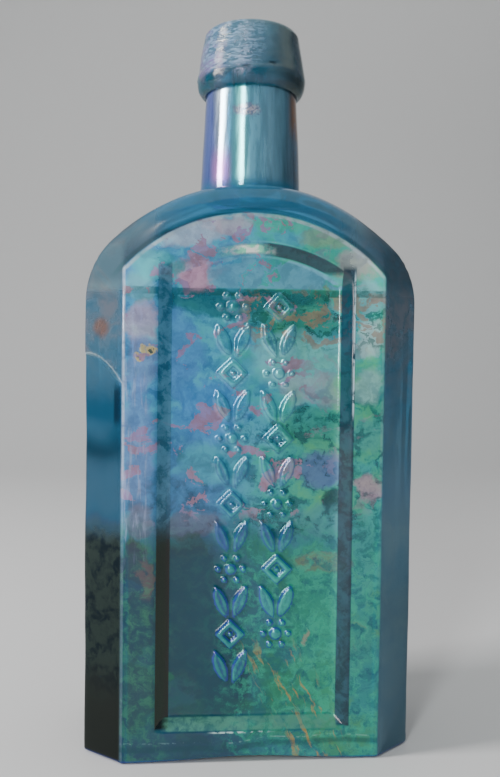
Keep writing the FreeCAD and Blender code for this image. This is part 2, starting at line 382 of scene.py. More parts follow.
def outer_rings(theta):
    """The skin that hands touch, from the neck's end down and in to the middle of the base."""
    heights = np.concatenate(
        [
            spaced(NECK_TOP, LIP_FOOT, 1.6),
            spaced(LIP_FOOT, SHOULDER_TOP + 3, 1.2),
            spaced(SHOULDER_TOP + 3, SHOULDER_TOP - 6, 0.36),
            spaced(SHOULDER_TOP - 6, 156, 0.5),
            spaced(156, 142, 0.62),
            spaced(142, 21, 0.62),
            spaced(21, PANEL_FOOT + PANEL_SLOPE, 1.5),
            spaced(PANEL_FOOT + PANEL_SLOPE, PANEL_FOOT, 0.7, True),
            spaced(PANEL_FOOT, HEEL_ROUND, 1.2),
        ]
    )[:, None]
    flask = flask_radius(theta[None, :], heights, 0, 0, SHOULDER_ROUND, EDGE_SOFTNESS)
    neck = np.where(heights > SHOULDER_TOP - 12, neck_radius(heights), 0)
    wall = level(theta, soft_max(flask, neck, 2.0), heights)
    side = np.sign(wall[..., 1])
    sunk = panel_sinking(wall[..., 0], wall[..., 2], PANEL_SLOPE, 0.07)
    front = wall[..., 1] < 0
    raised = np.where(front, ornament(wall[..., 0], wall[..., 2]), 0)
    wall[..., 1] -= side * (sunk - raised)

    full = np.full_like(theta, FULL_PLAN)

    def plan(inset):
        return flask_radius(theta, full, inset, inset, SHOULDER_ROUND, EDGE_SOFTNESS)

    foot = []
    for turn in np.linspace(0, math.pi / 2, 6)[:-1]:
        foot.append(level(theta, plan(HEEL_ROUND * (1 - math.cos(turn))), HEEL_ROUND * (1 - math.sin(turn))))
    for inset, z in ((1.3, 0.0), (3.0, 0.0), (7.0, 0.05), (9.5, 0.25), (11.0, 0.9), (12.5, 1.4), (14.5, 1.6)):
        foot.append(level(theta, plan(inset), z))
    for share in (0.8, 0.55, 0.3, 0.1, 0.0):
        foot.append(level(theta, plan(14.5) * share, PUSH_UP + 0.5 * (1 - share)))
    rings = np.concatenate([wall, np.array(foot)])
    # The base's front and back edges are drawn up a little between the corners.
    x, y, z = rings[..., 0], rings[..., 1], rings[..., 2]
    lifted = 1.5 * np.exp(-((x / 21) ** 2)) * (np.abs(y) / HALF_DEPTH) ** 2
    rings[..., 2] = z + lifted * np.clip(1 - z / 9, 0, 1)
    return rings


def inner_rings(theta):
    """The skin round the liquid, from the middle of the base out and up to the neck's end."""
    full = np.full_like(theta, FULL_PLAN)

    def plan(inset):
        return flask_radius(theta, full, inset, inset + INNER_FACE, INNER_ROUND, INNER_SOFTNESS)

    foot = []
    for share in (0.0, 0.15, 0.4, 0.7, 1.0):
        foot.append(level(theta, plan(WALL + INNER_ROUND) * share, BASE_THICKNESS + 1.2 * (1 - share**2)))
    for turn in np.linspace(math.pi / 2, 0, 8)[1:]:
        inset = WALL + INNER_ROUND * (1 - math.cos(turn))
        foot.append(level(theta, plan(inset), BASE_THICKNESS + INNER_ROUND * (1 - math.sin(turn))))
    heights = np.concatenate(
        [
            spaced(BASE_THICKNESS + INNER_ROUND + 2, 138, 3.0),
            spaced(138, 158, 1.4),
            spaced(158, SHOULDER_TOP, 0.7),
            spaced(SHOULDER_TOP, NECK_TOP + 0.01, 2.5),
            [NECK_TOP],
        ]
    )[:, None]
    flask = flask_radius(theta[None, :], heights, WALL, WALL + INNER_FACE, INNER_ROUND, INNER_SOFTNESS)
    bore = NECK_BORE_ROOT + (BORE_RADIUS - NECK_BORE_ROOT) * np.clip(
        (heights - 160) / (NECK_TOP - 160), 0, 1
    )
    wall = level(theta, soft_max(flask, bore, 1.6), heights)
    inset = 0.4 * panel_sinking(wall[..., 0], wall[..., 2], 9.0, 0.25)
    wall[..., 1] -= np.sign(wall[..., 1]) * inset * np.clip((SHOULDER_TOP - wall[..., 2]) / 20, 0, 1)
    return np.concatenate([np.array(foot), wall])


def blow(name, rings, wander):
    """Draws glass ring by ring: each ring is pulled out of the last one and set to its place."""
    bm = bmesh.new()
    column = bm.verts.layers.int.new("column")
    ring_of = bm.verts.layers.int.new("ring")
    first = bmesh.ops.create_circle(bm, segments=rings.shape[1], radius=1)["verts"]
    first.sort(key=lambda v: math.atan2(v.co.y, v.co.x))
    for k, v in enumerate(first):
        v[column] = k
        v.co = rings[0, k] * MM
    edges = bm.edges[:]
    for number, ring in enumerate(rings[1:], start=1):
        drawn = bmesh.ops.extrude_edge_only(bm, edges=edges)["geom"]
        fresh = {g for g in drawn if isinstance(g, bmesh.types.BMVert)}
        for v in fresh:
            v[ring_of] = number
            v.co = ring[v[column]] * MM
        edges = [g for g in drawn if isinstance(g, bmesh.types.BMEdge) and fresh.issuperset(g.verts)]
    bm.normal_update()
    bmesh.ops.recalc_face_normals(bm, faces=bm.faces[:])
    bm.normal_update()
    for v in bm.verts:
        v.co += v.normal * wander(v.co / MM, v[ring_of]) * MM
    bmesh.ops.remove_doubles(bm, verts=bm.verts[:], dist=1e-7)
    bmesh.ops.recalc_face_normals(bm, faces=bm.faces[:])
    for face in bm.faces:
        face.smooth = True
    return make_piece(name, bm)


def blow_body():
    theta = plan_columns()
    inner, outer = inner_rings(theta), outer_rings(theta)
    rings = np.concatenate([inner, outer])
    # The shoulder slumped a little while hot: in at both sides, and over to the left.
    slump = np.exp(-(((rings[..., 2] - 160) / 12) ** 2))
    rings[..., 0] -= slump * (0.026 * rings[..., 0] + 0.6)

    def wander(p, ring):
        slow = noise.noise(p / 31.0 + Vector((3, 1, 7)))
        quick = noise.noise(p / 9.0 + Vector((5, 2, 8)))
        if ring < len(inner):
            calm = min(1.0, max(0.0, (NECK_TOP - 4 - p.z) / 12))
            return calm * (1.1 * slow + 0.25 * quick)
        if p.z < 1e-3:
            return 0.0
        swell = (0.28 * slow + 0.07 * quick) * (1.0 if p.z > 3 else 0.3)
        if p.x < -HALF_WIDTH + BEVEL_WIDTH and p.y < 0:
            edge = p.z - SHELL_TOP + SHELL_FALL * (p.x + SHELL_LEFT) ** 2
            swell += 0.14 * math.tanh(edge / 0.35) - 0.14
        return swell

    body = blow("bottle_glass", rings, wander)
    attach(body, "root")
    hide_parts("bottle_body")
    return body


def blow_lip():
    theta = np.linspace(-math.pi, math.pi, 160, endpoint=False)
    mouth_round, top_round, foot_round = 1.2, 2.6, 5.5
    foot_radius = neck_radius(LIP_FOOT) + 0.5
    bulge = LIP_FOOT + foot_round
    edge = LIP_TOP - top_round
    profile = [(BORE_RADIUS, z) for z in spaced(NECK_TOP + EASY_GAP, LIP_TOP - mouth_round, 1.4)]
    profile += [
        (BORE_RADIUS + mouth_round * (1 - math.cos(a)), LIP_TOP - mouth_round + mouth_round * math.sin(a))
        for a in np.linspace(0, math.pi / 2, 5)
    ]
    profile += [(r, LIP_TOP) for r in spaced(BORE_RADIUS + 1.9, LIP_TOP_RADIUS - top_round, 0.6)]
    profile += [
        (LIP_TOP_RADIUS - top_round * (1 - math.sin(a)), LIP_TOP - top_round * (1 - math.cos(a)))
        for a in np.linspace(0, math.pi / 2, 8)
    ]
    profile += [
        (LIP_TOP_RADIUS + (LIP_RADIUS - LIP_TOP_RADIUS) * t, edge - (edge - bulge) * t)
        for t in np.linspace(0, 1, 36)[1:]
    ]
    profile += [
        (foot_radius + (LIP_RADIUS - foot_radius) * math.cos(a), bulge - foot_round * math.sin(a))
        for a in np.linspace(0, math.pi / 2, 14)[1:]
    ]
    profile += [(neck_radius(z) + EASY_GAP, z) for z in spaced(LIP_FOOT + 0.3, NECK_TOP + EASY_GAP, 1.2)]
    profile += [(r, NECK_TOP + EASY_GAP) for r in spaced(neck_radius(NECK_TOP) + EASY_GAP, BORE_RADIUS, 1.2)]
    rings = np.array([level(theta, np.full_like(theta, r), z) for r, z in profile + profile[:1]])
    outside = [math.hypot(r[0, 0], r[0, 1]) > neck_radius(LIP_FOOT) and r[0, 2] < LIP_TOP for r in rings]

    def wander(p, ring):
        if not outside[ring]:
            return 0.0
        ripple = noise.noise(Vector((p.x / 4.5, p.y / 4.5, p.z / 1.1 + 0.12 * p.x)))
        fine = noise.noise(Vector((p.x / 2.0, p.y / 2.0, p.z / 0.7)) + Vector((6, 1, 2)))
        slow = noise.noise(p / 9.0 + Vector((2, 9, 4)))
        worked = min(1.0, max(0.25, (9 - p.x) / 16))
        swell = 0.15 * slow + worked * (0.13 * ripple + 0.10 * fine)
        if p.y < 0:
            # Folds left where the hot collar was laid on and pressed.
            for height, rise, depth in ((209.8, 0.05, 0.30), (211.0, -0.08, 0.16)):
                away = (p.z - height - rise * (p.x + 8)) / 0.45
                swell -= depth * math.exp(-away * away) * min(1.0, max(0.0, (6 - p.x) / 8))
            for x, z in COLLAR_DENTS:
                swell -= 0.35 * math.exp(-(((p.x - x) / 1.6) ** 2 + ((p.z - z) / 0.6) ** 2))
        return swell

    # The last ring lies on the first, so the collar closes on itself.
    lip = blow("lip_glass", rings, wander)
    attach(lip, "root")
    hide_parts("applied_lip")
    return lip


# ---------------------------------------------------------------- glass


class Nodes:
    """Builds a material's node tree with short calls. Lengths in it are millimetres."""

    def __init__(self, material):
        self.tree = material.node_tree
        self.shader = self.tree.nodes["Principled BSDF"]
        place = self.tree.nodes.new("ShaderNodeTexCoord").outputs["Object"]
        self.place = self.vector("MULTIPLY", place, (1 / MM, 1 / MM, 1 / MM))
        split = self.tree.nodes.new("ShaderNodeSeparateXYZ")
        self.tree.links.new(self.place, split.inputs[0])
        self.x, self.y, self.z = split.outputs

    def put(self, socket, value):
        if isinstance(value, bpy.types.NodeSocket):
            self.tree.links.new(value, socket)
        else:
            socket.default_value = value

    def math(self, operation, a, b=0.0, c=0.0):
        node = self.tree.nodes.new("ShaderNodeMath")
        node.operation = operation
        for socket, value in zip(node.inputs, (a, b, c)):
            self.put(socket, value)
        return node.outputs[0]

    def times(self, a, b):
        return self.math("MULTIPLY", a, b)

    def most(self, a, b):
        return self.math("MAXIMUM", a, b)

    def vector(self, operation, a, b=(0.0, 0.0, 0.0), c=(0.0, 0.0, 0.0)):
        node = self.tree.nodes.new("ShaderNodeVectorMath")
        node.operation = operation
        for socket, value in zip(node.inputs, (a, b, c)):
            self.put(socket, value)
        return node.outputs["Value" if operation == "LENGTH" else "Vector"]

    def range(self, value, low, high, to_low=0.0, to_high=1.0, smooth=True):
        node = self.tree.nodes.new("ShaderNodeMapRange")
        node.interpolation_type = "SMOOTHSTEP" if smooth else "LINEAR"
        for socket, entry in zip(node.inputs, (value, low, high, to_low, to_high)):
            self.put(socket, entry)
        return node.outputs["Result"]

    def mix(self, share, a, b):
        node = self.tree.nodes.new("ShaderNodeMix")
        node.data_type = "RGBA"
        self.put(node.inputs["Factor"], share)
        self.put(node.inputs["A"], a)
        self.put(node.inputs["B"], b)
        return node.outputs["Result"]

    def noise(self, place, size, detail=3.0, rough=0.55, twist=0.0, stretch=(1, 1, 1), shift=(0, 0, 0)):
        place = self.vector("MULTIPLY_ADD", place, stretch, shift)
        node = self.tree.nodes.new("ShaderNodeTexNoise")
        node.inputs["Scale"].default_value = 1 / size
        node.inputs["Detail"].default_value = detail
        node.inputs["Roughness"].default_value = rough
        node.inputs["Distortion"].default_value = twist
        self.tree.links.new(place, node.inputs["Vector"])
        return node.outputs["Fac"]

    def ramp(self, value, stops):
        node = self.tree.nodes.new("ShaderNodeValToRGB")
        elements = node.color_ramp.elements
        while len(elements) < len(stops):
            elements.new(0.5)
        for element, (at, colour) in zip(elements, stops):
            element.position = at
            element.color = (*colour, 1)
        self.put(node.inputs[0], value)
        return node.outputs["Color"]

    def away(self, centre):
        """The distance, seen from the front, from a centre given across and up."""
        shift = (-centre[0], 0, -centre[1])
        return self.vector("LENGTH", self.vector("MULTIPLY_ADD", self.place, (1, 0, 1), shift))

    def band(self, value, low, high, soft):
        """1 between low and high, easing to 0 over soft on either side."""
        up = self.range(value, low - soft, low + soft)
        down = self.range(value, high - soft, high + soft, 1.0, 0.0)
        return self.times(up, down)


FILM = (
    (0.00, (0.004, 0.035, 0.060)),
    (0.16, (0.015, 0.100, 0.180)),
    (0.30, (0.055, 0.240, 0.480)),
    (0.42, (0.070, 0.400, 0.520)),
    (0.52, (0.040, 0.400, 0.330)),
    (0.62, (0.080, 0.420, 0.210)),
    (0.70, (0.300, 0.460, 0.200)),
    (0.78, (0.560, 0.340, 0.260)),
    (0.88, (0.420, 0.260, 0.480)),
    (1.00, (0.220, 0.240, 0.560)),
)

# Soft-edged marks left in the crust: middle across and up, half width, half height, colour, strength
STAINS = (
    (-17, 145, 7, 4.5, (0.560, 0.300, 0.420), 0.90),
    (19, 144.5, 8, 2.6, (0.080, 0.480, 0.500), 0.85),
    (-5, 137.5, 26, 4.0, (0.010, 0.110, 0.120), 0.75),
    (12, 131, 15, 5.0, (0.015, 0.120, 0.100), 0.55),
    (-22, 122, 6, 13, (0.080, 0.270, 0.560), 0.75),
    (13, 121, 15, 8, (0.200, 0.540, 0.560), 0.60),
    (17, 112, 9, 5, (0.420, 0.420, 0.480), 0.45),
    (-14, 104, 12, 9, (0.060, 0.270, 0.600), 0.75),
    (17, 100, 10, 6, (0.040, 0.300, 0.220), 0.70),
    (-12, 90, 10, 6, (0.060, 0.400, 0.480), 0.55),
    (20, 87, 8, 5, (0.100, 0.120, 0.380), 0.75),
    (24, 78, 4, 4, (0.010, 0.030, 0.070), 0.80),
    (20, 72, 10, 5, (0.100, 0.340, 0.400), 0.60),
    (-18, 71, 9, 4, (0.280, 0.260, 0.340), 0.50),
    (-20, 62, 7, 6, (0.050, 0.300, 0.260), 0.60),
    (21, 60, 8, 3, (0.420, 0.270, 0.160), 0.45),
    (-18, 45, 9, 20, (0.006, 0.060, 0.100), 0.85),
    (-9, 25, 8, 13, (0.006, 0.070, 0.080), 0.75),
    (-23, 26, 1.5, 1.9, (0.060, 0.560, 0.180), 0.95),
    (19, 44, 11, 14, (0.020, 0.430, 0.300), 0.80),
    (17, 22, 13, 9, (0.030, 0.460, 0.270), 0.80),
    (-10, 16, 12, 3.5, (0.030, 0.330, 0.200), 0.70),
    (17, 37, 1.3, 2.4, (0.480, 0.480, 0.360), 0.90),
    (-34, 141, 5, 5, (0.140, 0.420, 0.440), 0.60),
    (-33.5, 131, 5, 6, (0.520, 0.380, 0.480), 0.60),
    (-33, 119, 5, 8, (0.160, 0.240, 0.440), 0.65),
    (-34, 96, 5, 18, (0.150, 0.300, 0.600), 0.75),
    (-34, 72, 4, 5, (0.340, 0.300, 0.440), 0.50),
    (-35, 61, 4, 6, (0.100, 0.110, 0.070), 0.75),
    (-32, 55, 1.6, 6, (0.460, 0.380, 0.060), 0.75),
    (-34, 42, 5, 9, (0.020, 0.150, 0.110), 0.70),
    (-32, 44, 1.4, 3, (0.080, 0.480, 0.140), 0.75),
    (-34, 20, 5, 10, (0.060, 0.260, 0.160), 0.65),
    (34, 140, 4.5, 5, (0.200, 0.480, 0.520), 0.75),
    (34, 127, 4.5, 6, (0.460, 0.640, 0.640), 0.70),
    (34, 113, 4.5, 5, (0.320, 0.560, 0.580), 0.65),
    (34, 98, 4.5, 6, (0.070, 0.340, 0.330), 0.65),
    (35, 83, 4, 4, (0.520, 0.280, 0.380), 0.70),
    (35, 62, 5, 15, (0.060, 0.460, 0.430), 0.75),
    (34, 28, 5, 16, (0.040, 0.330, 0.360), 0.70),
    (-20, 158, 10, 5, (0.420, 0.500, 0.620), 0.80),
    (-8, 160, 7, 2.4, (0.500, 0.360, 0.420), 0.65),
    (7, 160.5, 9, 2.4, (0.060, 0.440, 0.320), 0.80),
    (21, 157, 8, 3.4, (0.220, 0.380, 0.240), 0.70),
    (31, 150, 6, 5, (0.440, 0.330, 0.360), 0.65),
    (-29, 147, 6, 5, (0.060, 0.400, 0.420), 0.70),
    (-34.5, 121, 1.5, 1.3, (0.620, 0.500, 0.160), 0.90),
    (-31.6, 123.3, 1.6, 1.2, (0.620, 0.500, 0.200), 0.90),
    (-34.5, 121, 0.7, 0.6, (0.020, 0.060, 0.080), 0.90),
    (-31.6, 123.3, 0.8, 0.6, (0.020, 0.060, 0.080), 0.90),
)


def find_places(n):
    """Marks out the flat faces, and coordinates that drift a little from the true ones."""
    x, y, z = n.x, n.y, n.z
    n.across = n.math("ABSOLUTE", x)
    n.front = n.range(y, -16.0, -22.0)
    back = n.range(y, 16.0, 22.0)

    # The flat faces lie inside the bevels and below the shoulder's curve.
    n.shoulder = n.away(FACE_ARCH)
    face_side = n.range(n.across, 39.2, 38.4)
    above = n.times(n.range(n.shoulder, 51.4, 52.2), n.range(z, 139.0, 143.0))
    n.face = n.times(face_side, n.math("SUBTRACT", 1.0, above))
    n.face = n.times(n.face, n.math("MULTIPLY_ADD", back, 0.55, n.front))

    # Slow drift moves every edge of the crust about, so that no stain has a ruled outline.
    n.drift = n.tree.nodes.new("ShaderNodeTexNoise")
    n.drift.inputs["Scale"].default_value = 1 / 9.0
    n.drift.inputs["Detail"].default_value = 5
    n.drift.inputs["Roughness"].default_value = 0.62
    n.tree.links.new(n.place, n.drift.inputs["Vector"])
    n.moved = n.vector("SUBTRACT", n.drift.outputs["Color"], (0.5, 0.5, 0.5))
    n.moved = n.vector("MULTIPLY_ADD", n.moved, (14.0, 12.0, 9.0), n.place)
    split = n.tree.nodes.new("ShaderNodeSeparateXYZ")
    n.tree.links.new(n.moved, split.inputs[0])
    n.mx, _, n.mz = split.outputs

    n.wear = n.noise(n.place, 2.6, 4, 0.62, 0.5, shift=(4, 4, 8))


def grow_film(n):
    """The crust's colour on the faces: a film coloured by its thickness, stains and crisp flakes."""
    big = n.noise(n.moved, 18, 3, 0.5, 0.6)
    n.small = n.noise(n.moved, 4.2, 4, 0.56, 0.4, shift=(7, 3, 5))
    n.film = n.math("MULTIPLY_ADD", big, 0.50, 0.08)
    n.film = n.math("MULTIPLY_ADD", n.small, 0.30, n.film)
    n.film = n.math("ADD", n.film, n.range(n.mx, -24, 24, -0.15, 0.04))
    colour = n.ramp(n.film, FILM)

    for cx, cz, wide, high, tint, strength in STAINS:
        dx = n.math("MULTIPLY_ADD", n.mx, 1 / wide, -cx / wide)
        dz = n.math("MULTIPLY_ADD", n.mz, 1 / high, -cz / high)
        far = n.math("MULTIPLY_ADD", dz, dz, n.times(dx, dx))
        far = n.math("MULTIPLY_ADD", n.small, 1.4, far)
        share = n.range(far, 2.2, 1.2, 0.0, strength)
        colour = n.mix(share, colour, (*tint, 1))

    # The crust's colour is scaled darker towards the bottom, most of all on the left, and brighter higher up.
    deep = n.range(n.mx, -14, 34, 0.24, 0.70)
    shade = n.range(n.mz, 58, 84)
    shade = n.math("MULTIPLY_ADD", shade, n.math("SUBTRACT", n.range(n.mz, 90, 116, 1.2, 1.45), deep), deep)
    colour = n.vector("MULTIPLY", colour, shade)
    colour = n.vector("MAXIMUM", colour, (0.004, 0.060, 0.095))

    gloom = n.times(n.range(n.small, 0.52, 0.38), n.times(n.range(n.mz, 116, 100), n.range(n.mx, -8, 4)))
    colour = n.mix(n.times(gloom, 0.62), colour, (0.008, 0.110, 0.140, 1))

    # Crisp-edged flakes: pink and mauve above, rust and dark green under the tide line.
    n.peel = n.noise(n.moved, 10, 4, 0.55, 0.9, stretch=(1.0, 1.0, 1.35), shift=(3, 9, 2))
    pink = n.range(n.peel, 0.590, 0.604)
    pink = n.times(pink, n.range(n.mz, 70, 78))
    pink = n.times(pink, n.range(n.mx, 20, 12, 0.25, 0.85))
    rose = n.mix(n.range(n.small, 0.4, 0.6), (0.560, 0.300, 0.420, 1), (0.420, 0.280, 0.520, 1))
    colour = n.mix(pink, colour, rose)
    scab = n.noise(n.moved, 5.0, 4, 0.55, 0.6, stretch=(0.8, 1.0, 1.3), shift=(8, 1, 4))
    scab_zone = n.times(n.band(n.mz, 124, 141, 2), n.range(n.mx, -6, 2))
    rust = n.times(n.range(scab, 0.535, 0.552), scab_zone)
    colour = n.mix(n.times(rust, 0.65), colour, (0.460, 0.290, 0.190, 1))
    moss = n.times(n.range(scab, 0.425, 0.405), scab_zone)
    colour = n.mix(n.times(moss, 0.6), colour, (0.010, 0.110, 0.080, 1))
    return colour


def paint_low(n, colour):
    """Dark branching veins, paler green crumbs and slanting streaks of gold, low on the faces."""
    x, z = n.x, n.z
    vein = n.math("ABSOLUTE", n.math("SUBTRACT", n.noise(n.moved, 7.0, 5, 0.62, 0.6, shift=(1, 6, 6)), 0.5))
    low = n.range(n.mz, 80, 60)
    vein = n.times(n.range(vein, 0.022, 0.004), n.times(low, n.range(n.mx, 2, 12)))
    colour = n.mix(n.times(vein, 0.4), colour, (0.010, 0.060, 0.160, 1))
    crumb = n.noise(n.moved, 3.6, 5, 0.68, 0.5, shift=(5, 5, 2))
    crumb = n.times(n.range(crumb, 0.44, 0.66), low)
    crumb = n.times(crumb, n.range(n.math("ABSOLUTE", n.math("ADD", n.mx, 17)), 5, 13, 0.10, 0.55))
    green = n.mix(n.range(n.mx, -20, 0), (0.040, 0.230, 0.130, 1), (0.030, 0.470, 0.290, 1))
    colour = n.mix(crumb, colour, green)
    tilt = n.math("MULTIPLY_ADD", z, 0.45, x)
    slanted = n.tree.nodes.new("ShaderNodeCombineXYZ")
    n.put(slanted.inputs[0], n.math("MULTIPLY_ADD", n.drift.outputs["Fac"], 5.0, tilt))
    n.put(slanted.inputs[2], n.times(z, 0.16))
    streak = n.noise(slanted.outputs[0], 2.1, 3, 0.6, 0.3, shift=(1, 1, 1))
    gold = n.times(n.range(streak, 0.53, 0.61), n.band(tilt, 13, 30, 3))
    gold = n.times(gold, n.times(n.range(n.mz, 40, 26), n.range(n.wear, 0.35, 0.55, 0.3, 1.0)))
    colour = n.mix(n.times(gold, 0.7), colour, (0.480, 0.280, 0.070, 1))
    return colour


def paint_panel(n, colour):
    """The sunken panel: its clear window, level tide line, painted shade on its slopes and a painted
    highlight at the arch.
    """
    x, z = n.x, n.z
    # A clear window is left under the arch, with a level edge where liquid once stood.
    vault = n.away(PANEL_ARCH)
    window = n.times(n.range(z, TIDE_TOP, TIDE_TOP + 0.5), n.range(vault, 42.3, 41.6))
    window = n.times(window, n.range(n.mx, -13, -11))
    window = n.times(window, n.math("SUBTRACT", 1.0, n.range(n.peel, 0.53, 0.545)))
    colour = n.mix(n.times(window, 0.85), colour, (0.190, 0.540, 0.760, 1))
    tide = n.times(n.band(z, TIDE_FOOT, TIDE_TOP, 0.25), n.range(n.small, 0.3, 0.6))
    colour = n.mix(n.times(tide, 0.7), colour, (0.010, 0.090, 0.100, 1))

    # Painted shade darkens the panel's slopes, standing in for the darker surroundings seen through them; a
    # painted highlight lies at the top of the arch.
    from_middle = n.math("ABSOLUTE", n.math("SUBTRACT", x, 0.7))
    side_slope = n.times(n.band(from_middle, 25.2, 29.2, 0.18), n.range(z, 149, 147))
    side_slope = n.times(side_slope, n.range(z, 9.8, 10.6))
    top_slope = n.times(n.band(vault, 42.2, 45.7, 0.25), n.range(z, 145, 147))
    top_slope = n.times(top_slope, n.range(n.mx, 2, 6, 0.15, 1.0))
    n.slope = n.most(side_slope, top_slope)
    slope_shade = n.mix(n.range(n.small, 0.35, 0.65), (0.003, 0.024, 0.045, 1), (0.010, 0.055, 0.095, 1))
    dusk = n.mix(n.range(n.small, 0.36, 0.62), (0.014, 0.090, 0.160, 1), (0.065, 0.210, 0.330, 1))
    slope_shade = n.mix(n.times(n.range(z, 66, 76), n.range(x, -10, -20)), slope_shade, dusk)
    slope_shade = n.mix(n.times(n.range(z, 74, 64), n.range(x, -10, -20)), slope_shade, (0.004, 0.010, 0.012, 1))
    colour = n.mix(n.times(n.slope, 0.95), colour, slope_shade)
    n.bloom = n.times(n.band(vault, 42.8, 45.2, 0.5), n.band(n.mx, -8.0, 3.5, 3.0))
    n.bloom = n.times(n.bloom, n.range(z, 146, 149))
    pale = n.mix(n.range(n.wear, 0.42, 0.58), (1.000, 1.000, 0.940, 1), (0.250, 0.820, 0.560, 1))
    colour = n.mix(n.bloom, colour, pale)
    foot_slope = n.times(n.band(z, 9.6, 13.0, 0.3), n.range(n.across, 27, 25))
    foot_slope = n.times(foot_slope, n.range(n.wear, 0.35, 0.6, 0.25, 0.7))
    colour = n.mix(foot_slope, colour, (0.110, 0.330, 0.230, 1))
    # A dotted pale line just above the foot is a painted highlight.
    foot_glint = n.times(n.band(z, 8.8, 9.3, 0.15), n.band(n.mx, -12, 6, 3))
    colour = n.mix(n.times(foot_glint, n.range(n.wear, 0.46, 0.56, 0.0, 0.8)), colour, (0.600, 0.850, 0.820, 1))
    return colour


def paint_edges(n, colour):
    """Painted highlights and scuffs along the edges, and the raised work's painted highlights and shade."""
    x, y, z = n.x, n.y, n.z
    # A pale painted highlight runs up each of the face's upright edges, with scuffs beside the left one.
    edge = n.band(n.across, 38.0, 39.0, 0.25)
    edge = n.times(edge, n.range(z, 70, 100, 0.15, 0.9))
    edge = n.times(edge, n.range(x, 20, -20, 0.25, 1.0))
    edge = n.times(n.times(edge, n.front), n.range(n.small, 0.3, 0.5, 0.4, 1.0))
    colour = n.mix(n.times(edge, 0.8), colour, (0.620, 0.700, 0.860, 1))
    scuff = n.noise(n.place, 1.2, 4, 0.6, 0.2, stretch=(1.0, 1.0, 0.12), shift=(7, 0, 5))
    scuff = n.times(n.range(scuff, 0.50, 0.64), n.band(x, -38.4, -31.5, 0.8))
    scuff = n.times(scuff, n.times(n.band(z, 66, 124, 10), n.front))
    colour = n.mix(n.times(scuff, 0.5), colour, (0.480, 0.580, 0.860, 1))
    # Painted highlights run along the panel's right slope: a bright upper line and a dotted lower one.
    glint = n.times(n.band(x, 29.3, 29.8, 0.15), n.band(z, 104, 146, 2))
    glint = n.times(glint, n.range(n.small, 0.36, 0.5))
    colour = n.mix(n.times(glint, 0.75), colour, (0.600, 0.820, 0.880, 1))
    dots = n.times(n.band(x, 25.2, 25.5, 0.1), n.band(z, 106, 140, 2))
    sparks = n.noise(n.place, 0.9, 1, 0.5)
    colour = n.mix(n.times(dots, n.range(sparks, 0.50, 0.54, 0.0, 0.8)), colour, (0.500, 0.850, 0.820, 1))

    # A pale line runs along the arch, just inside the face.
    arched = n.times(n.range(z, 143, 147), n.front)
    seam = n.times(n.band(n.shoulder, 50.7, 51.7, 0.3), arched)
    colour = n.mix(n.times(seam, n.range(n.small, 0.3, 0.6, 0.2, 0.8)), colour, (0.560, 0.680, 0.740, 1))

    # Raised work gets a teal painted highlight on top, and painted shade in violet and blue along its sides.
    risen = n.math("MULTIPLY_ADD", y, -1.0, -25.0)
    worked = n.times(n.band(x, -12.0, 13.2, 0.4), n.band(z, 17.0, 142.0, 1.0))
    outline = n.times(n.band(risen, 0.30, 0.70, 0.12), worked)
    n.crown = n.times(n.range(risen, 0.55, 0.95), worked)
    colour = n.mix(n.times(n.crown, 0.35), colour, (0.060, 0.560, 0.560, 1))
    violet = n.mix(n.range(n.mz, 40, 110), (0.030, 0.050, 0.420, 1), (0.060, 0.260, 0.420, 1))
    colour = n.mix(n.times(outline, 0.7), colour, violet)
    return colour


def paint_foot(n, colour):
    """One dark wavy line, and one pale one that is a painted highlight, across the lowest few millimetres of
    the faces.
    """
    z = n.z
    wave = n.math("SUBTRACT", z, n.times(n.noise(n.place, 22, 1, 0.5, shift=(0, 0, 3)), 7.0))
    trough = n.times(n.band(wave, 0.6, 2.2, 0.5), n.range(z, 8.6, 7.0))
    colour = n.mix(n.times(trough, n.range(n.small, 0.3, 0.6, 0.15, 0.6)), colour, (0.004, 0.060, 0.080, 1))
    # The pale crest line is a painted highlight.
    crest = n.times(n.band(wave, 2.9, 3.2, 0.2), n.range(n.small, 0.48, 0.6, 0.0, 0.35))
    colour = n.mix(n.times(crest, n.range(z, 8.6, 7.6)), colour, (0.400, 0.700, 0.640, 1))
    return colour


